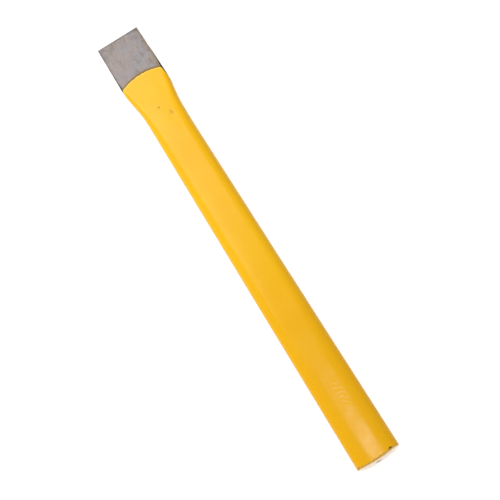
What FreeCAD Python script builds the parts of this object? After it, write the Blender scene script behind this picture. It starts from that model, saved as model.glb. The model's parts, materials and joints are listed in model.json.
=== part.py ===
import FreeCAD, Part
import math
import os

# A flat cold chisel forged in one piece from flat-oval bar, lying on its flat side.
# +X points to the cutting edge, +Y runs across the blade and +Z is up.
# The origin is on the bench, under the middle of the chisel.

# Driving dimensions in millimetres. Widths and thicknesses are over the enamel.
overall_length = 300.0        # cutting edge to struck end
shank_width = 23.6
shank_thickness = 13.3
blade_width = 29.6
blade_thickness = 6.8         # at the grind line
blade_draft = 2.2             # degrees that each broad face of the blade leans
blade_side_bulge = 1.2        # how far the blade's forged sides bow outwards
grind_length = 35.0           # cutting edge to grind line, on the centre line
grind_line_radius = 26.0      # the grind line is an arc in plan
edge_thickness = 1.2          # between the ground facets, where the edge bevels begin
edge_angle = 60.0             # degrees between the two edge bevels
shoulder_start = 31.7         # cutting edge to where the blade starts to narrow
shoulder_length = 41.0        # from there to where it is as narrow as the bar
taper_gap = 8.0               # grind line to where the blade starts to thicken faster
taper_length = 52.0           # from there to the full thickness of the bar
rounding_gap = 2.0            # grind line to where the sides start to round off
rounding_length = 18.0        # from there to fully rounded sides
struck_crown_radius = 60.0    # the struck end bulges, as an arc in plan
struck_chamfer = 0.6
enamel_thickness = 0.2
enamel_gap = 0.3              # bare steel between the ground facets and the enamel

# Construction allowances, in millimetres.
station_step = 4.0            # spacing of the forging's sections
overrun = 3.0                 # how far blanks and cutters pass what they make
reach = 60.0                  # half-size of a cutter across the chisel
tolerance = 1e-6              # sizes closer than this are equal

mid_height = shank_thickness / 2.0
taper_front = grind_length + taper_gap
taper_back = taper_front + taper_length


def along(distance):
    """X of a point at this distance behind the cutting edge."""
    return overall_length / 2.0 - distance


def ease(distance, start, length):
    """Smooth rise from 0 to 1, level at both ends."""
    share = min(max((distance - start) / length, 0.0), 1.0)
    return share ** 3 * (10.0 - 15.0 * share + 6.0 * share ** 2)


def half_width(distance):
    share = ease(distance, shoulder_start, shoulder_length)
    return (blade_width + (shank_width - blade_width) * share) / 2.0


def half_thickness(distance):
    lean = math.tan(math.radians(blade_draft))
    blade = blade_thickness / 2.0 + lean * (distance - grind_length)
    share = ease(distance, taper_front, taper_length)
    return blade + (shank_thickness / 2.0 - blade) * share


def side_bulge(distance):
    """Bow of the sides: a flat curve on the blade, a half circle on the shank."""
    share = ease(distance, grind_length + rounding_gap, rounding_length)
    return blade_side_bulge + (half_thickness(distance) - blade_side_bulge) * share


def section(distance, inset):
    """Closed outline across the chisel: two flats joined by two bowed sides."""
    x = along(distance)
    side = half_width(distance) - inset
    flat = half_width(distance) - side_bulge(distance)
    top = mid_height + half_thickness(distance) - inset
    bottom = mid_height - half_thickness(distance) + inset
    left_top = FreeCAD.Vector(x, flat, top)
    left_side = FreeCAD.Vector(x, side, mid_height)
    left_bottom = FreeCAD.Vector(x, flat, bottom)
    right_top = FreeCAD.Vector(x, -flat, top)
    right_side = FreeCAD.Vector(x, -side, mid_height)
    right_bottom = FreeCAD.Vector(x, -flat, bottom)
    edges = [
        Part.LineSegment(right_top, left_top).toShape(),
        Part.Arc(left_top, left_side, left_bottom).toShape(),
        Part.LineSegment(left_bottom, right_bottom).toShape(),
        Part.Arc(right_bottom, right_side, right_top).toShape(),
    ]
    return Part.Wire(edges)


def blank(inset):
    """The forging before grinding: a straight bar drawn out into a spread blade."""
    front = -overrun
    count = round((taper_back - front) / station_step)
    step = (taper_back - front) / count
    stations = [front + step * number for number in range(count + 1)]
    blade = Part.makeLoft([section(station, inset) for station in stations], True, False)
    bar_end = Part.Face(section(taper_back, inset))
    bar = bar_end.extrude(FreeCAD.Vector(taper_back - overall_length, 0.0, 0.0))
    return bar.fuse(blade)


def both_faces(cutter):
    """A cutter for the top face, with its twin for the underside."""
    below = cutter.mirror(FreeCAD.Vector(0.0, 0.0, mid_height), FreeCAD.Vector(0.0, 0.0, 1.0))
    return [cutter, below]


def sag(radius, side):
    """How far an arc in plan has fallen back at this distance from the centre line."""
    return radius - math.sqrt(radius ** 2 - side ** 2)


def beyond_arc(apex, radius, way):
    """A cutter for all that lies past an arc in plan. The arc bulges along X by way, 1 or -1."""
    side = half_width(grind_length) + overrun
    arc_end = apex - way * sag(radius, side)
    far = apex + way * reach
    left = FreeCAD.Vector(arc_end, side, -reach)
    middle = FreeCAD.Vector(apex, 0.0, -reach)
    right = FreeCAD.Vector(arc_end, -side, -reach)
    far_left = FreeCAD.Vector(far, side, -reach)
    far_right = FreeCAD.Vector(far, -side, -reach)
    edges = [
        Part.Arc(left, middle, right).toShape(),
        Part.LineSegment(right, far_right).toShape(),
        Part.LineSegment(far_right, far_left).toShape(),
        Part.LineSegment(far_left, left).toShape(),
    ]
    return Part.Face(Part.Wire(edges)).extrude(FreeCAD.Vector(0.0, 0.0, 2.0 * reach))


def facet_cutter():
    """What grinding takes off one broad face: it leaves a facet with a slight crown."""
    edge_half = edge_thickness / 2.0
    heel_half = half_thickness(grind_length) - enamel_thickness
    slope = math.atan((heel_half - edge_half) / grind_length)
    crown_radius = grind_line_radius / (math.tan(slope) - math.tan(math.radians(blade_draft)))
    back = FreeCAD.Vector(-math.cos(slope), 0.0, math.sin(slope))
    outward = FreeCAD.Vector(math.sin(slope), 0.0, math.cos(slope))
    edge = FreeCAD.Vector(along(0.0), 0.0, mid_height + edge_half)
    start = edge - outward * crown_radius - back * reach
    wheel = Part.makeCylinder(crown_radius, grind_length + 2.0 * reach, start, back)
    depth = grind_length + sag(grind_line_radius, half_width(grind_length)) + overrun
    corner = FreeCAD.Vector(along(depth), -reach, mid_height)
    block = Part.makeBox(depth + 2.0 * overrun, 2.0 * reach, reach, corner)
    return block.cut(wheel)


def bevel_cutter():
    """What sharpening takes off one side of the cutting edge."""
    rise = reach * math.tan(math.radians(edge_angle / 2.0))
    outline = [
        FreeCAD.Vector(along(0.0), -reach, mid_height),
        FreeCAD.Vector(along(reach), -reach, mid_height + rise),
        FreeCAD.Vector(along(-2.0 * overrun), -reach, mid_height + rise),
        FreeCAD.Vector(along(-2.0 * overrun), -reach, mid_height),
    ]
    face = Part.Face(Part.makePolygon(outline + outline[:1]))
    return face.extrude(FreeCAD.Vector(0.0, 2.0 * reach, 0.0))


def is_crown(face):
    """Whether this face is the struck end's."""
    surface = face.Surface
    return isinstance(surface, Part.Cylinder) and abs(surface.Radius - struck_crown_radius) < tolerance


def forged_body():
    """The whole steel forging, ground, sharpened, and crowned and chamfered at the struck end."""
    steel = blank(enamel_thickness)
    steel = steel.cut(both_faces(facet_cutter()) + both_faces(bevel_cutter()))
    steel = steel.cut(beyond_arc(along(overall_length), struck_crown_radius, -1.0))
    crown = next(face for face in steel.Faces if is_crown(face))
    return steel.makeChamfer(struck_chamfer, crown.Edges).Solids[0]


def paint_coat():
    """The enamel: a thin skin that fits the forging from the grind line to the struck end's chamfer."""
    skin = blank(0.0).cut(blank(enamel_thickness))
    front = beyond_arc(along(grind_length + enamel_gap), grind_line_radius, 1.0)
    back = beyond_arc(along(overall_length - struck_chamfer), struck_crown_radius, -1.0)
    return skin.cut([front, back]).Solids[0]


os.makedirs("parts", exist_ok=True)
forged_body().exportStep("parts/forged_body.step")
paint_coat().exportStep("parts/paint_coat.step")
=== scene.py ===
import json
import math

import bmesh
import bpy
import numpy as np
from mathutils import Matrix, Vector

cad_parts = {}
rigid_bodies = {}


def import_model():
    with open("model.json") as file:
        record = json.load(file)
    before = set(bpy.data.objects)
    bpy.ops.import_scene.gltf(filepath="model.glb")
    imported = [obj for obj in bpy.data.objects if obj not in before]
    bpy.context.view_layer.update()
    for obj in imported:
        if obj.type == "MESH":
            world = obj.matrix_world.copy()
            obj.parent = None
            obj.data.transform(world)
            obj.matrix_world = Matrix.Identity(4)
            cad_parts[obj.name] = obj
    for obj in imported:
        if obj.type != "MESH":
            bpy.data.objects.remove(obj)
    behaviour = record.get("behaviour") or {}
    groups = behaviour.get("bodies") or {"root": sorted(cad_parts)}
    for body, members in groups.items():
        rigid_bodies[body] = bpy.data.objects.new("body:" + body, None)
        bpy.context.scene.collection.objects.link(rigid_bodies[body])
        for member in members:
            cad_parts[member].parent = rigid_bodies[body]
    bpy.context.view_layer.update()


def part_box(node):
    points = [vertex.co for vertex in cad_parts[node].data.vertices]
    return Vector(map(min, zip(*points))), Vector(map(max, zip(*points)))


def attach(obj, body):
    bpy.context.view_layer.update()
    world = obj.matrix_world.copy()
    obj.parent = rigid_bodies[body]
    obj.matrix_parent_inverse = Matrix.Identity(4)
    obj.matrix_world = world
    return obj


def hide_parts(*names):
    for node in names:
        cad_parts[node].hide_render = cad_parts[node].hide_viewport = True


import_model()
steelLow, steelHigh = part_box("forged_body")
coatLow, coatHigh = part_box("paint_coat")

mm = 0.001
tau = 2 * math.pi

# The chisel's own measures. Shapes are worked out in millimetres: "behind" is the distance back from the
# cutting edge, "across" is y, and heights are measured from mid-thickness.
edgeX = steelHigh.x
midZ = (coatLow.z + coatHigh.z) / 2
forging = {
    "length": (steelHigh.x - steelLow.x) / mm,
    "shankThick": (coatHigh.z - coatLow.z) / mm,
    "bladeLeft": 14.95,          # half-width of the blade to the left, the +y side
    "bladeRight": 14.4,
    "barLeft": 11.72,
    "barRight": 11.94,
    "sideLimit": coatHigh.y / mm,
    "leftShoulder": (30, 41),    # where that side starts to narrow, and over what length
    "rightShoulder": (39, 33),
    "runIn": (27, 0.014),        # the right side runs in towards the edge from here, by this slope
    "edgePull": (5, 0.12),       # both sides run in over the last of the blade, by this much
    "swells": [                  # hollows and swells of the right side
        {"behind": 17, "length": 5, "height": -0.2},
        {"behind": 45, "length": 5, "height": 0.2},
        {"behind": 67, "length": 9, "height": 0.25},
    ],
    "bladeThick": 6.8,
    "bladeDraft": 2.2,           # degrees
    "neckGap": 8,                # grind line to where the blade starts to thicken faster
    "neckLength": 52,
    "bladeRound": 0.4,           # reach of the rounded sides, as a share of the half-thickness
    "neckRound": 0.9,
    "barRound": 1.33,
    "neckRounding": (37, 12),    # where each of the last two begins, and over what length
    "leftRounding": (58, 24),
    "rightRounding": (180, 80),
    "barFlat": 5.0,              # half of the bar's flat, and the reach of its sides, for marking out
    "barReach": 6.65,
    "grind": 35.0,               # edge to grind line on the centre line
    "grindRadius": 26.0,
    "edgeThick": 1.2,
    "edgeAngle": 60.0,
    "edgeLand": 0.05,
    "skin": 0.2,                 # enamel
    "chamfer": 0.35,
    "crownRadius": 60.0,         # the struck end bulges, as an arc in plan
    "crownShift": 1.2,           # its furthest point is a little to the left
    "fullness": 2.45,            # power of the sides' curve; 2 is an ellipse, more is squarer
}

camera = {
    "lens": 61.1,
    "distance": 458.4,
    "tilt": 24.3,                # degrees off the broad face's normal, towards the struck end
    "roll": 31.886,
    "aimBehind": 170.5,
    "aimAcross": -0.46,
}


def placeCamera():
    # looks at a point on the shank; the tool's long axis is turned by roll, to the left of upright
    aim = Vector((edgeX - camera["aimBehind"] * mm, camera["aimAcross"] * mm, midZ))
    tilt, roll = math.radians(camera["tilt"]), math.radians(camera["roll"])
    back = Vector((-math.sin(tilt), 0, math.cos(tilt)))
    lengthwise = Vector((math.cos(tilt), 0, math.sin(tilt)))
    sideways = Vector((0, -1, 0))
    right = sideways * math.cos(roll) - lengthwise * math.sin(roll)
    up = sideways * math.sin(roll) + lengthwise * math.cos(roll)
    place = aim + back * camera["distance"] * mm
    data = bpy.data.cameras.new("camera")
    data.lens = camera["lens"]
    data.sensor_width = 36
    data.clip_start, data.clip_end = 0.01, 20
    cam = bpy.data.objects.new("camera", data)
    turn = Matrix((right, up, back)).transposed()
    cam.matrix_world = Matrix.Translation(place) @ turn.to_4x4()
    bpy.context.scene.collection.objects.link(cam)
    bpy.context.scene.camera = cam


placeCamera()
print("camera placed")


def ease(value, start, length):
    # rises from 0 to 1 as 10t^3 - 15t^4 + 6t^5, level at both ends
    t = np.clip((value - start) / length, 0, 1)
    return t ** 3 * (10 - 15 * t + 6 * t ** 2)


def waves(a, b, seed, size, count=14):
    # smooth random relief, mostly within -1 to 1: plane waves about size long, in random directions, summed
    # and divided by the square root of their number
    rng = np.random.default_rng(seed)
    total = 0
    for angle, phase, stretch in rng.uniform(0, 1, (count, 3)):
        pitch = tau / (size * (0.6 + stretch))
        along, aside = math.cos(angle * tau) * pitch, math.sin(angle * tau) * pitch
        total = total + np.sin(a * along + b * aside + phase * tau)
    return total / math.sqrt(count)


def dimple(a, b, spot):
    # round dent: minus depth times exp(-(r / radius)^2)
    away = ((a - spot["behind"]) ** 2 + (b - spot["across"]) ** 2) / spot["radius"] ** 2
    return -spot["depth"] * np.exp(-away)


def steps(count):
    # a column of count even shares, up to 1 and leaving out 0
    return np.linspace(0, 1, count + 1)[1:, None]


def gridPiece(name, points, wrapRows, attributes, materials, matOf=None):
    # one closed surface through a grid of points in millimetres; columns always join up, rows if wrapRows.
    # Edges turn sharp past sharpAngle, in degrees
    sharpAngle = 18
    rows, cols = points.shape[:2]
    number = np.arange(rows * cols).reshape(rows, cols)
    low = number if wrapRows else number[:-1]
    high = np.roll(number, -1, axis=0) if wrapRows else number[1:]
    quads = np.stack([low, np.roll(low, -1, 1), np.roll(high, -1, 1), high], -1).reshape(-1, 4)
    flat = points.reshape(-1, 3)
    place = np.empty_like(flat)
    place[:, 0] = edgeX - flat[:, 0] * mm
    place[:, 1] = flat[:, 1] * mm
    place[:, 2] = midZ + flat[:, 2] * mm
    # the enclosed volume shows whether the faces point outwards
    corners = place[quads]
    turned = np.einsum("ij,ij->i", corners[:, 0], np.cross(corners[:, 1], corners[:, 2])).sum()
    turned += np.einsum("ij,ij->i", corners[:, 0], np.cross(corners[:, 2], corners[:, 3])).sum()
    if turned < 0:
        quads = quads[:, ::-1]
    mesh = bpy.data.meshes.new(name)
    mesh.vertices.add(len(place))
    mesh.vertices.foreach_set("co", place.astype(np.float32).ravel())
    mesh.loops.add(quads.size)
    mesh.loops.foreach_set("vertex_index", quads.astype(np.int32).ravel())
    mesh.polygons.add(len(quads))
    mesh.polygons.foreach_set("loop_start", np.arange(0, quads.size, 4, dtype=np.int32))
    mesh.polygons.foreach_set("material_index", np.zeros(len(quads), np.int32) if matOf is None else matOf)
    for key, values in attributes.items():
        layer = mesh.attributes.new(key, "FLOAT", "POINT")
        layer.data.foreach_set("value", values.astype(np.float32).ravel())
    mesh.update(calc_edges=True)
    work = bmesh.new()
    work.from_mesh(mesh)
    bmesh.ops.remove_doubles(work, verts=work.verts, dist=1e-7)
    work.to_mesh(mesh)
    work.free()
    mesh.validate()
    mesh.polygons.foreach_set("use_smooth", np.ones(len(mesh.polygons), bool))
    mesh.set_sharp_from_angle(angle=math.radians(sharpAngle))
    for material in materials:
        mesh.materials.append(material)
    piece = bpy.data.objects.new(name, mesh)
    bpy.context.scene.collection.objects.link(piece)
    return piece


def halfWidth(behind, left):
    # blade half-width easing to the bar's; the left shoulder falls away before the right one
    leftRise = (forging["barLeft"] - forging["bladeLeft"]) * ease(behind, *forging["leftShoulder"])
    rightRise = (forging["barRight"] - forging["bladeRight"]) * ease(behind, *forging["rightShoulder"])
    runStart, runSlope = forging["runIn"]
    rightSide = forging["bladeRight"] + rightRise - runSlope * np.clip(runStart - behind, 0, runStart)
    # each swell adds height * exp(-(distance / length)^2)
    for swell in forging["swells"]:
        rightSide = rightSide + swell["height"] * np.exp(-((behind - swell["behind"]) / swell["length"]) ** 2)
    pullLength, pull = forging["edgePull"]
    return (np.where(left, forging["bladeLeft"] + leftRise, rightSide)
            - pull * (1 - ease(behind, 0, pullLength)))


def halfThick(behind):
    # a gently leaning blade that eases to the bar's half-thickness
    lean = math.tan(math.radians(forging["bladeDraft"]))
    blade = forging["bladeThick"] / 2 + lean * (behind - forging["grind"])
    share = ease(behind, forging["grind"] + forging["neckGap"], forging["neckLength"])
    return blade + (forging["shankThick"] / 2 - blade) * share


def sideRound(behind, left):
    # reach of the rounded side: small at the blade, more on the neck, and past the half-thickness on the bar,
    # which the right side only comes to near the struck end
    neck = (forging["neckRound"] - forging["bladeRound"]) * ease(behind, *forging["neckRounding"])
    fuller = np.where(left, ease(behind, *forging["leftRounding"]), ease(behind, *forging["rightRounding"]))
    bar = (forging["barRound"] - forging["neckRound"]) * fuller
    return halfThick(behind) * (forging["bladeRound"] + neck + bar)


def struckLine(across):
    # the struck end in plan: an arc, y^2 / 2r short of the full length
    return forging["length"] - (across - forging["crownShift"]) ** 2 / (2 * forging["crownRadius"])


def grindArc(across):
    # an arc in plan, y^2 / 2r behind its crown
    return forging["grind"] + across ** 2 / (2 * forging["grindRadius"])


def grindLine(across, sideShare):
    # where the enamel starts: the arc, a little uneven, and further back down the rounded sides, by share of
    # the side on the left and by its square root on the right
    wiggle = 0.07 * waves(across, across * 0, 21, 3.5) + 0.05 * waves(across, across * 0, 22, 1.1)
    slip = np.where(across > 0, coat["slipLeft"] * sideShare, coat["slipRight"] * np.sqrt(sideShare))
    return grindArc(across) + slip + wiggle


def columns(topCount, sideCount, underCount):
    # once round the section: share across the flat, share of the side's quarter turn, and up or down
    top = np.linspace(-1, 1, topCount)
    under = np.linspace(1, -1, underCount)
    turn = np.linspace(1, -1, sideCount + 2)[1:-1]
    share = np.concatenate([top, np.ones(sideCount), under, -np.ones(sideCount)])
    quarter = np.concatenate([np.ones(topCount), np.abs(turn), np.ones(underCount), np.abs(turn)])
    upward = np.concatenate([np.ones(topCount), np.sign(turn), -np.ones(underCount), -np.sign(turn)])
    return share, quarter, upward


def onFlat(quarter):
    # points on a flat have turned the whole quarter
    return quarter > 0.999


def markOut(share, quarter, flatHalf, reach):
    # roughly how far across each column is: share * flatHalf on a flat, and reach * cos(turn) more on a side
    return share * flatHalf + np.sign(share) * reach * np.cos(quarter * math.pi / 2)


def sectionPoints(behind, share, quarter, upward, grow, topLimit=None):
    # flats at the half-thickness, joined by sides with |u|^n + |v|^n = 1; topLimit cuts the flats down to a
    # facet, and a few rounds settle where the facet meets the sides
    power = 2 / forging["fullness"]
    rounds = 12
    left = share >= 0
    half = np.minimum(halfWidth(behind, left) + grow, forging["sideLimit"])
    thick = halfThick(behind) + grow
    reach = sideRound(behind, left) + grow
    corner = np.full(behind.shape, math.pi / 2)
    if topLimit is not None:
        for _ in range(rounds):
            rim = half - reach + reach * np.maximum(np.cos(corner), 0) ** power
            corner = np.arcsin(np.clip(topLimit(behind, rim * share) / thick, 0, 1) ** (1 / power))
    angle = quarter * corner
    flat = onFlat(quarter)
    rim = half - reach + reach * np.maximum(np.cos(corner), 0) ** power
    side = half - reach + reach * np.maximum(np.cos(angle), 0) ** power
    across = np.where(flat, share * rim, np.sign(share) * side)
    height = thick * np.sin(angle) ** power
    if topLimit is not None:
        height = np.where(flat, np.minimum(thick, topLimit(behind, across)), height)
    return np.stack([behind, across, upward * height], -1)


def nodeTree(name):
    material = bpy.data.materials.new(name)
    material.use_nodes = True
    tree = material.node_tree
    return material, tree, tree.nodes["Principled BSDF"]


def addNode(tree, kind, inputs=None, **settings):
    node = tree.nodes.new(kind)
    for key, value in settings.items():
        setattr(node, key, value)
    for key, value in (inputs or {}).items():
        if isinstance(value, bpy.types.NodeSocket):
            tree.links.new(value, node.inputs[key])
        else:
            node.inputs[key].default_value = value
    return node


def noiseValue(tree, vector, scale, detail=4, rough=0.55, stretch=None):
    # noise on Object coordinates; stretch squeezes it along x, y, z
    if stretch is not None:
        vector = addNode(tree, "ShaderNodeMapping", {"Vector": vector, "Scale": stretch}).outputs[0]
    inputs = {"Vector": vector, "Scale": scale, "Detail": detail, "Roughness": rough}
    return addNode(tree, "ShaderNodeTexNoise", inputs).outputs["Fac"]


def ramp(tree, value, low, high, start=0.0, end=1.0):
    # maps value from low..high to start..end, clamped
    inputs = {"Value": value, "From Min": low, "From Max": high, "To Min": start, "To Max": end}
    return addNode(tree, "ShaderNodeMapRange", inputs).outputs["Result"]


def blendColour(tree, share, first, second):
    # first at share 0, second at share 1; each may be a colour or another node's output
    node = addNode(tree, "ShaderNodeMix", data_type="RGBA")
    for socket, value in zip([node.inputs[0], node.inputs[6], node.inputs[7]], [share, first, second]):
        if isinstance(value, bpy.types.NodeSocket):
            tree.links.new(value, socket)
        else:
            socket.default_value = value
    return node.outputs[2]


def times(tree, first, second):
    return addNode(tree, "ShaderNodeMath", {0: first, 1: second}, operation="MULTIPLY").outputs[0]


def attribute(tree, name):
    return addNode(tree, "ShaderNodeAttribute", attribute_name=name).outputs["Fac"]


def bump(tree, layers):
    # stacks bump layers, each (height, strength, distance in metres)
    normal = None
    for height, strength, distance in layers:
        inputs = {"Height": height, "Strength": strength, "Distance": distance}
        if normal is not None:
            inputs["Normal"] = normal
        normal = addNode(tree, "ShaderNodeBump", inputs).outputs[0]
    return normal


def colour(red, green, blue):
    # an sRGB colour, 0 to 255, as the linear values that a shader takes
    def one(value):
        value = value / 255
        return value / 12.92 if value <= 0.04045 else ((value + 0.055) / 1.055) ** 2.4
    return (one(red), one(green), one(blue), 1.0)


enamel = {
    "yellow": colour(253, 193, 27),
    "deepAndShade": colour(247, 178, 20),       # in clouds, and as painted shade towards the struck end
    "rim": colour(255, 214, 90),        # along the grind line: thinner enamel, and a painted highlight of its edge
    "grime": colour(120, 72, 14),
    "roughness": 0.24,
    "gloss": 0.115,
}


def yellowEnamel():
    material, tree, shader = nodeTree("yellowEnamel")
    place = addNode(tree, "ShaderNodeTexCoord").outputs["Object"]
    lengthwise = addNode(tree, "ShaderNodeSeparateXYZ", {"Vector": place}).outputs["X"]
    cloudy = noiseValue(tree, place, 38, 3, 0.5)
    mottle = noiseValue(tree, place, 420, 3, 0.6)
    # a cloudy yellow, with painted shade deepening it towards the struck end, where the light falls off
    base = blendColour(tree, ramp(tree, cloudy, 0.35, 0.75, 0.0, 0.35), enamel["yellow"], enamel["deepAndShade"])
    base = blendColour(tree, ramp(tree, lengthwise, -0.03, -0.11, 0.0, 0.5), base, enamel["deepAndShade"])
    base = blendColour(tree, ramp(tree, mottle, 0.45, 0.8, 0.0, 0.12), base, enamel["deepAndShade"])
    # enamel thins to a paler line along the grind line, over the first millimetre; the line is also a painted
    # highlight of the enamel's raised edge catching light
    fromGrind = attribute(tree, "behindGrind")
    base = blendColour(tree, ramp(tree, fromGrind, 0.3, 1.3, 0.75, 0.0), base, enamel["rim"])
    # a thin stained edge, here and there, where the enamel is broken at the struck end
    beforeEnd = attribute(tree, "beforeEnd")
    patchy = ramp(tree, noiseValue(tree, place, 260, 3), 0.4, 0.65, 0.05, 0.5)
    broken = times(tree, ramp(tree, beforeEnd, 0.08, 0.3, 1.0, 0.0), patchy)
    base = blendColour(tree, broken, base, enamel["grime"])
    # grime in the pits and in a few pinholes
    pits = attribute(tree, "pit")
    base = blendColour(tree, ramp(tree, pits, 0.2, 1.0, 0.0, 0.5), base, enamel["grime"])
    cells = addNode(tree, "ShaderNodeTexVoronoi", {"Vector": place, "Scale": 150, "Randomness": 1.0})
    pinhole = ramp(tree, cells.outputs["Distance"], 0.02, 0.05, 1.0, 0.0)
    rare = ramp(tree, noiseValue(tree, place, 60, 1), 0.6, 0.7)
    base = blendColour(tree, times(tree, times(tree, pinhole, rare), 0.5), base, enamel["grime"])
    tree.links.new(base, shader.inputs["Base Color"])
    smudge = noiseValue(tree, place, 90, 5, 0.6)
    tree.links.new(ramp(tree, smudge, 0.3, 0.75, enamel["roughness"] - 0.06, enamel["roughness"] + 0.08),
                   shader.inputs["Roughness"])
    shader.inputs["Specular IOR Level"].default_value = enamel["gloss"]
    peel = noiseValue(tree, place, 650, 2, 0.5)
    dust = noiseValue(tree, place, 2600, 2, 0.6)
    tree.links.new(bump(tree, [(peel, 0.35, 0.00006), (dust, 0.2, 0.00002)]), shader.inputs["Normal"])
    return material


steel = {
    "ground": colour(134, 124, 120),
    "groundDark": colour(106, 97, 93),
    "groundBlue": colour(118, 117, 122),
    "stain": colour(100, 86, 70),
    "olive": colour(104, 80, 30),       # next to the enamel, partly as painted shadow of its edge, and along the right-hand corner
    "burr": colour(76, 72, 68),
    # fresher metal on the bevelled rim, lighter also as a painted highlight
    "bevel": colour(160, 166, 156),
    "scale": colour(42, 36, 33),        # on the forged sides
    "scaleRust": colour(74, 54, 40),
    "struck": colour(252, 224, 186),
    "struckWarm": colour(246, 206, 152),
    # painted reflection of the bright floor, on the lower half of the struck face
    "struckReflection": colour(248, 244, 238),
    "struckRust": colour(120, 74, 40),
    "rimRust": colour(238, 198, 112),   # bare line round the struck end
}


def groundSteel():
    material, tree, shader = nodeTree("groundSteel")
    place = addNode(tree, "ShaderNodeTexCoord").outputs["Object"]
    # wheel lines run along the tool with a slight slant; they are long in x and fine in y
    slant = addNode(tree, "ShaderNodeMapping", {"Vector": place, "Rotation": (0, 0, 0.16)}).outputs[0]
    lines = noiseValue(tree, slant, 1, 5, 0.7, (110, 2300, 110))
    broad = noiseValue(tree, slant, 1, 3, 0.6, (90, 420, 90))
    cross = noiseValue(tree, slant, 1, 4, 0.7, (1900, 160, 160))
    cloudy = noiseValue(tree, place, 230, 5, 0.6)
    patch = noiseValue(tree, place, 95, 2, 0.5)
    base = blendColour(tree, ramp(tree, lines, 0.35, 0.62, 0.0, 1.0), steel["groundDark"], steel["ground"])
    base = blendColour(tree, ramp(tree, broad, 0.35, 0.65, 0.0, 0.35), base, steel["ground"])
    base = blendColour(tree, ramp(tree, patch, 0.45, 0.65, 0.0, 0.8), base, steel["groundBlue"])
    base = blendColour(tree, ramp(tree, cross, 0.54, 0.7, 0.0, 0.6), base, steel["groundDark"])
    base = blendColour(tree, ramp(tree, cloudy, 0.54, 0.68, 0.0, 0.8), base, steel["stain"])
    # duller towards the left; brown along the right-hand corner, thin and dark along the left-hand one
    toCorner = attribute(tree, "corner")
    base = blendColour(tree, ramp(tree, toCorner, -0.7, 0.9, 0.0, 0.5), base, steel["groundDark"])
    broken = ramp(tree, cloudy, 0.35, 0.6, 0.35, 1.0)
    rightCorner = times(tree, ramp(tree, toCorner, -0.98, -0.78, 0.75, 0.0), broken)
    leftCorner = times(tree, ramp(tree, toCorner, 0.93, 1.0, 0.0, 0.6), broken)
    base = blendColour(tree, rightCorner, base, steel["olive"])
    base = blendColour(tree, leftCorner, base, steel["scale"])
    # both corners at the edge are stained
    fromEdge = attribute(tree, "behindEdge")
    size = addNode(tree, "ShaderNodeMath", {0: toCorner}, operation="ABSOLUTE").outputs[0]
    stained = times(tree, ramp(tree, size, 0.4, 0.95), ramp(tree, fromEdge, 3, 15, 0.75, 0.0))
    base = blendColour(tree, times(tree, stained, ramp(tree, cloudy, 0.42, 0.58)), base, steel["burr"])
    # the last millimetre before the enamel is discoloured, and darkened also as painted shadow of the
    # enamel's raised edge
    fromGrind = attribute(tree, "behindGrind")
    base = blendColour(tree, ramp(tree, fromGrind, -1.9, -0.8, 0.0, 1.0), base, steel["olive"])
    # the bevelled rim is fresher metal, painted lighter also as a highlight along the edge, with a dull line
    # where it meets the facet
    burr = times(tree, ramp(tree, fromEdge, 0.9, 1.3), ramp(tree, fromEdge, 1.4, 2.3, 1.0, 0.0))
    base = blendColour(tree, times(tree, burr, broken), base, steel["burr"])
    base = blendColour(tree, ramp(tree, fromEdge, 0.8, 1.1, 0.85, 0.0), base, steel["bevel"])
    tree.links.new(base, shader.inputs["Base Color"])
    shader.inputs["Metallic"].default_value = 0.55
    tree.links.new(ramp(tree, lines, 0.3, 0.7, 0.52, 0.4), shader.inputs["Roughness"])
    tree.links.new(bump(tree, [(broad, 0.3, 0.00004), (lines, 0.35, 0.00003)]), shader.inputs["Normal"])
    return material


def forgeScale():
    material, tree, shader = nodeTree("forgeScale")
    place = addNode(tree, "ShaderNodeTexCoord").outputs["Object"]
    patches = noiseValue(tree, place, 240, 5, 0.6)
    base = blendColour(tree, ramp(tree, patches, 0.45, 0.75), steel["scale"], steel["scaleRust"])
    # the bare line round the struck end has a fresher rust colour
    rimLine = ramp(tree, attribute(tree, "beforeEnd"), 0.6, 0.85, 0.95, 0.0)
    base = blendColour(tree, rimLine, base, steel["rimRust"])
    tree.links.new(base, shader.inputs["Base Color"])
    shader.inputs["Metallic"].default_value = 0.1
    shader.inputs["Specular IOR Level"].default_value = 0.2
    tree.links.new(ramp(tree, patches, 0.3, 0.7, 0.55, 0.75), shader.inputs["Roughness"])
    tree.links.new(bump(tree, [(patches, 0.5, 0.00008)]), shader.inputs["Normal"])
    return material


def struckSteel():
    material, tree, shader = nodeTree("struckSteel")
    place = addNode(tree, "ShaderNodeTexCoord").outputs["Object"]
    saw = noiseValue(tree, place, 1, 4, 0.6, (200, 120, 1900))
    spots = noiseValue(tree, place, 330, 4, 0.6)
    base = blendColour(tree, ramp(tree, saw, 0.3, 0.7, 0.0, 0.6), steel["struck"], steel["struckWarm"])
    base = blendColour(tree, ramp(tree, spots, 0.68, 0.76, 0.0, 0.7), base, steel["struckRust"])
    # the lower half of the face is painted pale: a painted reflection of the bright floor below it
    height = addNode(tree, "ShaderNodeSeparateXYZ", {"Vector": place}).outputs["Z"]
    base = blendColour(tree, ramp(tree, height, 0.004, 0.0095, 0.85, 0.0), base, steel["struckReflection"])
    rusty = attribute(tree, "rust")
    base = blendColour(tree, ramp(tree, rusty, 0.2, 0.8, 0.0, 0.9), base, steel["struckRust"])
    tree.links.new(base, shader.inputs["Base Color"])
    shader.inputs["Metallic"].default_value = 0.85
    tree.links.new(ramp(tree, spots, 0.4, 0.7, 0.28, 0.6), shader.inputs["Roughness"])
    tree.links.new(bump(tree, [(saw, 0.4, 0.00005), (spots, 0.3, 0.00006)]), shader.inputs["Normal"])
    return material


enamelMaterial = yellowEnamel()
groundMaterial = groundSteel()
scaleMaterial = forgeScale()
struckMaterial = struckSteel()
print("materials made")

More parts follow.
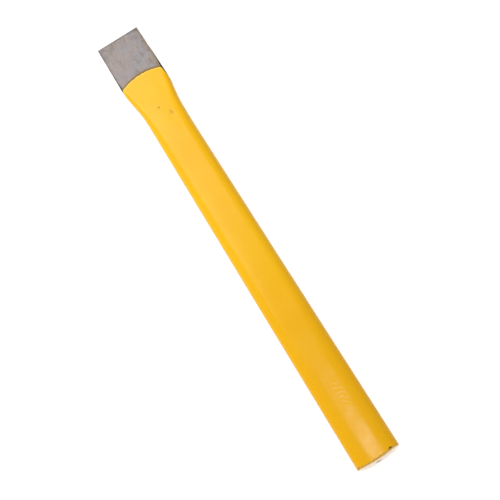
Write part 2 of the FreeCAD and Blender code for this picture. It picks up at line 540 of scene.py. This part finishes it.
coat = {
    "columns": (72, 44, 40),     # top flat, each side, underside
    "rows": [(56, 70), (72, 60), (254, 84), (296.5, 84)],    # how far back each stretch goes, and its rows
    "endRows": 12,
    "innerRows": 44,
    "lipRows": 6,
    "lip": 0.3,                  # length of the rounded lip at both ends
    "flatHalf": 12.9,            # half-width of the flat at the grind line, for marking out
    "gap": 0.2,                  # bare line between the facet and the enamel
    "slipLeft": 2.5,             # how much further back the enamel starts down each side
    "slipRight": 9.0,
    "endGap": 0.55,              # how far short of the struck end it stops
    "waviness": 0.035,
    "crown": 0.06,               # fall of the flats from their middle to their edges
    "deepest": 0.19,             # limit of all relief; the skin is 0.2
    "pits": [
        {"behind": 64.0, "across": 0.6, "radius": 0.85, "depth": 0.12},
        {"behind": 70.3, "across": -4.1, "radius": 0.7, "depth": 0.1},
        {"behind": 72.0, "across": -4.6, "radius": 0.8, "depth": 0.11},
        {"behind": 72.1, "across": -2.9, "radius": 0.7, "depth": 0.07},
        {"behind": 61.3, "across": -6.4, "radius": 0.5, "depth": 0.05},
    ],
    "chips": [                   # where the enamel has broken away at the struck end
        {"across": -7.8, "width": 0.8, "depth": 0.7},
        {"across": 10.4, "width": 0.6, "depth": 0.25},
        {"across": 3.2, "width": 0.6, "depth": 0.15},
        {"across": -3.4, "width": 1.4, "depth": 0.12},
    ],
    "panel": {"behind": 261.0, "across": 0.0, "halfLength": 9.5, "halfWidth": 3.6, "depth": 0.026},
    "ripple": {"behind": 277.0, "across": 5.0, "pitch": 2.3},    # faint rings in the panel round this point
}


def enamelRelief(behind, across, upward):
    # height added to the enamel, always downwards: slow forging waves, pits on the upper flat, and a blank
    # pressed panel whose outline is (a^6 + b^6)^(1/6) = 1
    # upward shifts the waves, so the underside has its own
    relief = coat["waviness"] * (waves(behind, across * 2 + 40 * upward, 3, 26) - 1.6)
    relief = relief + 0.3 * coat["waviness"] * (waves(behind, across + 30 * upward, 4, 6) - 1.6)
    onTop = upward > 0
    pit = 0
    for spot in coat["pits"]:
        pit = pit + dimple(behind, across, spot)
    panel = coat["panel"]
    farAlong = np.abs(behind - panel["behind"]) / panel["halfLength"]
    farAside = np.abs(across - panel["across"]) / panel["halfWidth"]
    press = 1 - ease((farAlong ** 6 + farAside ** 6) ** (1 / 6), 0.86, 0.28)
    ring = coat["ripple"]
    far = np.hypot(behind - ring["behind"], across - ring["across"])
    ripple = 0.5 * np.sin(far * tau / ring["pitch"]) + 0.5 * waves(behind, across, 8, 2.2)
    relief = relief + onTop * (pit - panel["depth"] * press * (1 + ripple))
    return relief, onTop * np.abs(pit) / 0.1


def enamelEnd(across, upward):
    # where the enamel stops at the struck end: just short of it, slightly ragged, with a few chips on top
    line = struckLine(across) - coat["endGap"]
    line = line + 0.06 * waves(across, 20 * upward, 31, 2.2) + 0.04 * waves(across, 20 * upward, 32, 0.8)
    for chip in coat["chips"]:
        line = line - (upward > 0) * chip["depth"] * np.exp(-((across - chip["across"]) / chip["width"]) ** 4)
    return line


def buildEnamel():
    # rows run back over the outside, turn in round the lip, and come forward again against the steel
    share, quarter, upward = columns(*coat["columns"])
    sideShare = 1 - np.sin(quarter * math.pi / 2)
    front = (grindLine(markOut(share, quarter, coat["flatHalf"], 1.0), sideShare) + coat["gap"])[None, :]
    back = enamelEnd(markOut(share, quarter, forging["barFlat"], forging["barReach"]), upward)[None, :]
    skin = forging["skin"]
    turn = np.linspace(0, math.pi / 2, coat["lipRows"])[:, None]
    rows, grow = [], []

    def add(values, height):
        values = values + 0 * front
        rows.append(values)
        grow.append(np.broadcast_to(height, values.shape))

    add(front + coat["lip"] * (1 - np.cos(turn)), skin * np.sin(turn))
    last = front + coat["lip"]
    for target, count in coat["rows"] + [(back - coat["lip"], coat["endRows"])]:
        add(last + (target - last) * steps(count), skin)
        last = target
    add(back - coat["lip"] * (1 - np.cos(turn[::-1])), skin * np.sin(turn[::-1]))
    add(back + (front - back) * steps(coat["innerRows"] + 1)[:-1], 0.0)
    behind, growth = np.concatenate(rows), np.concatenate(grow)
    share, quarter, upward = (np.broadcast_to(v, behind.shape) for v in (share, quarter, upward))
    points = sectionPoints(behind, share, quarter, upward, growth - skin)
    relief, pit = enamelRelief(behind, points[..., 1], upward)
    # the flats are crowned, by crown * (y / flat edge)^2, and the curve carries on into the sides
    lastOnTop = coat["columns"][0] - 1
    rightEdge, leftEdge = points[:, :1, 1], points[:, lastOnTop:lastOnTop + 1, 1]
    flatEdge = np.where(share >= 0, leftEdge, rightEdge)
    relief = relief - coat["crown"] * (points[..., 1] / flatEdge) ** 2
    # it never goes deeper than the skin: limit * tanh(relief / limit)
    lift = -coat["deepest"] * np.tanh(np.maximum(-relief, 0) / coat["deepest"])
    lift = lift * growth / skin * np.sin(quarter * math.pi / 2)
    points[..., 2] += lift * upward
    attributes = {"behindGrind": behind - front, "beforeEnd": back - behind, "pit": pit}
    return gridPiece("enamelCoat", points, True, attributes, [enamelMaterial])


enamelCoat = buildEnamel()
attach(enamelCoat, "root")
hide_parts("paint_coat")
print("enamel coat:", len(enamelCoat.data.polygons), "faces")

body = {
    "columns": (96, 36, 96),     # as many below as above, so that both ends close
    "bevelRows": 6,
    "facetRows": 84,
    "faceRings": 12,
    "flatHalf": 13.4,            # half-width of the flat at the edge, for marking out
    "facetWave": 0.018,
    "nicks": [                   # small dents in the cutting edge
        {"across": -9.4, "width": 0.5, "depth": 0.14},
        {"across": 3.1, "width": 0.35, "depth": 0.08},
        {"across": 11.6, "width": 0.6, "depth": 0.12},
    ],
    "cornerWear": {"start": 13.2, "length": 1.2, "depth": 0.35},
    "ragged": 0.03,              # unevenness of the cutting edge
    "hammerDents": 0.05,         # unevenness of the struck face
    "uncut": 99.0,               # height of a facet where there is none
    "rustSpot": {"across": 0.6, "up": -0.8, "radius": 1.9},
}


def facetTop(behind, across):
    # height of the ground face: a straight fall from the grind line to the edge, then the sharpened bevel
    line = grindArc(across)
    heel = halfThick(line) - forging["skin"]
    heelShare = behind / line
    facet = forging["edgeThick"] / 2 + (heel - forging["edgeThick"] / 2) * heelShare
    facet = facet + body["facetWave"] * waves(behind, across, 41, 9) * ease(behind, 0, 4)
    bevel = forging["edgeLand"] / 2 + behind * math.tan(math.radians(forging["edgeAngle"] / 2))
    return np.where(behind > line, body["uncut"], np.minimum(facet, np.maximum(bevel, 0)))


def buildSteel():
    # rows run back from the edge: bevel, facet, the step up to the forged skin, and the bar under the enamel
    share, quarter, upward = columns(*body["columns"])
    sideShare = 1 - np.sin(quarter * math.pi / 2)
    across = markOut(share, quarter, body["flatHalf"], 1.0)
    line = grindArc(across)[None, :]
    painted = grindLine(across, sideShare)[None, :]
    heel = halfThick(line) - forging["skin"]
    slope = (heel - forging["edgeThick"] / 2) / line
    rise = math.tan(math.radians(forging["edgeAngle"] / 2))
    bevelBack = (forging["edgeThick"] - forging["edgeLand"]) / 2 / (rise - slope)
    # the edge in plan: rounded corners, some unevenness, and nicks of depth * exp(-(distance / width)^2)
    wear = body["cornerWear"]
    edge = wear["depth"] * np.clip((np.abs(across) - wear["start"]) / wear["length"], 0, 1)[None, :] ** 2
    edge = edge + body["ragged"] * np.maximum(1 + waves(across, across * 0, 51, 1.6), 0)[None, :]
    for nick in body["nicks"]:
        edge = edge + nick["depth"] * np.exp(-((across[None, :] - nick["across"]) / nick["width"]) ** 2)
    barAcross = markOut(share, quarter, forging["barFlat"], forging["barReach"])
    end = (struckLine(barAcross) - forging["chamfer"])[None, :]
    heelStep = line + 0.02
    # how far back each stretch of rows goes, and its rows
    stretches = [(bevelBack, body["bevelRows"]), (line, body["facetRows"]), (heelStep, 1), (heelStep + 9, 16),
                 (96, 24), (296, 20), (end, 8)]
    rows = [edge, edge]
    last = edge
    for target, count in stretches:
        rows.append(last + (target - last) * steps(count) + 0 * line)
        last = target
    bevelEnd = 2 + body["bevelRows"]
    facetEnd = bevelEnd + body["facetRows"]
    behind = np.concatenate(rows)
    shape = behind.shape
    shareAll, quarterAll, upwardAll = (np.broadcast_to(v, shape) for v in (share, quarter, upward))
    skin = forging["skin"]
    lineAll = np.broadcast_to(line, shape)
    cut = behind <= lineAll + 0.001

    def limit(distance, side):
        return np.where(cut, facetTop(np.minimum(distance, lineAll), side), body["uncut"])

    points = sectionPoints(behind, shareAll, quarterAll, upwardAll, -skin, limit)
    points[0, :, 2] = 0
    # the chamfer and the struck face: the outline shrinks inwards ring by ring to a line
    bevelWide = forging["chamfer"]
    full = forging["shankThick"] / 2 - skin
    faceStart = 1.2              # how far in the chamfer's rings end and the face's begin
    ringIn = [part * bevelWide for part in (0.15, 0.45, 0.75, 1)] + [0.5, 0.9]
    ringBack = [part * bevelWide for part in (0.03, 0.35, 0.7, 0.93)] + [bevelWide] * 2
    ringIn = ringIn + list(np.linspace(faceStart, full, body["faceRings"]))
    ringBack = ringBack + [bevelWide] * body["faceRings"]
    outline = points[-1]
    middle = np.clip(outline[:, 1], -forging["barFlat"], forging["barFlat"])
    rings = []
    for inward, back in zip(ringIn, ringBack):
        keep = 1 - inward / full
        height = outline[:, 2] * keep
        aside = middle + (outline[:, 1] - middle) * keep
        dents = np.maximum(1 + waves(aside, height, 61, 3.4), 0) * min(inward / faceStart, 1.0)
        place = struckLine(aside) - bevelWide + back - body["hammerDents"] * dents
        rings.append(np.stack([place, aside, height], -1))
    points = np.concatenate([points, np.array(rings)])
    ringRows = len(rings)
    rowCount = points.shape[0]
    bodyRows = rowCount - ringRows
    fromGrind = np.full(points.shape[:2], 5.0)
    fromGrind[:bodyRows] = behind - painted
    # one rust spot low on the struck face: exp(-(r / radius)^2)
    spot = body["rustSpot"]
    away = np.hypot(points[..., 1] - spot["across"], points[..., 2] - spot["up"]) / spot["radius"]
    rust = np.exp(-away ** 2)
    rust[:bodyRows] = 0
    corner = np.zeros(points.shape[:2])
    corner[:bodyRows] = shareAll * onFlat(quarterAll)
    # faces: 0 ground facets, 1 forge scale, 2 struck face
    faceRow = np.arange(rowCount - 1)[:, None]
    flatFace = onFlat(quarter) & onFlat(np.roll(quarter, -1))
    zone = np.ones((rowCount - 1, len(share)), np.int32)
    zone[(faceRow < facetEnd) & flatFace[None, :]] = 0
    zone[:bevelEnd] = 0
    zone[bodyRows + 3:] = 2
    attributes = {"behindGrind": fromGrind, "behindEdge": points[..., 0], "corner": corner, "rust": rust,
                  "beforeEnd": struckLine(points[..., 1]) - points[..., 0]}
    return gridPiece("steelBody", points, False, attributes,
                     [groundMaterial, scaleMaterial, struckMaterial], zone.ravel())


steelBody = buildSteel()
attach(steelBody, "root")
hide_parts("forged_body")
print("steel body:", len(steelBody.data.polygons), "faces")

studio = {
    "floor": 40.0,
    "floorGlow": 0.9,
    "world": 0.27,
    "softbox": {"place": (0.84, 0.31, 0.85), "size": (0.75, 1.0), "power": 14.4},
    "strip": {"place": (0.03, 0.0, 1.0), "size": (0.1, 0.1), "power": 1.4},
}


def makeFloor():
    material, tree, shader = nodeTree("paleFloor")
    shader.inputs["Base Color"].default_value = (0.3, 0.3, 0.3, 1)
    shader.inputs["Roughness"].default_value = 0.9
    shader.inputs["Specular IOR Level"].default_value = 0.1
    shader.inputs["Emission Color"].default_value = (1, 1, 1, 1)
    shader.inputs["Emission Strength"].default_value = studio["floorGlow"]
    half = studio["floor"] / 2
    mesh = bpy.data.meshes.new("floor")
    mesh.from_pydata([(-half, -half, 0), (half, -half, 0), (half, half, 0), (-half, half, 0)], [],
                     [(0, 1, 2, 3)])
    mesh.materials.append(material)
    floor = bpy.data.objects.new("floor", mesh)
    bpy.context.scene.collection.objects.link(floor)


def softLight(name, target, place, size, power):
    data = bpy.data.lights.new(name, "AREA")
    data.shape = "RECTANGLE"
    data.size, data.size_y = size
    data.energy = power
    lamp = bpy.data.objects.new(name, data)
    lamp.location = place
    aim = Vector(target) - Vector(place)
    lamp.rotation_euler = aim.to_track_quat("-Z", "Y").to_euler()
    bpy.context.scene.collection.objects.link(lamp)


makeFloor()
softLight("softbox", (0, 0, 0), **studio["softbox"])
softLight("strip", (-0.12, 0, 0), **studio["strip"])
world = bpy.data.worlds.new("studio")
world.use_nodes = True
world.node_tree.nodes["Background"].inputs["Color"].default_value = (1, 1, 1, 1)
world.node_tree.nodes["Background"].inputs["Strength"].default_value = studio["world"]
bpy.context.scene.world = world
bpy.context.scene.view_settings.view_transform = "Standard"
print("floor and lights placed")
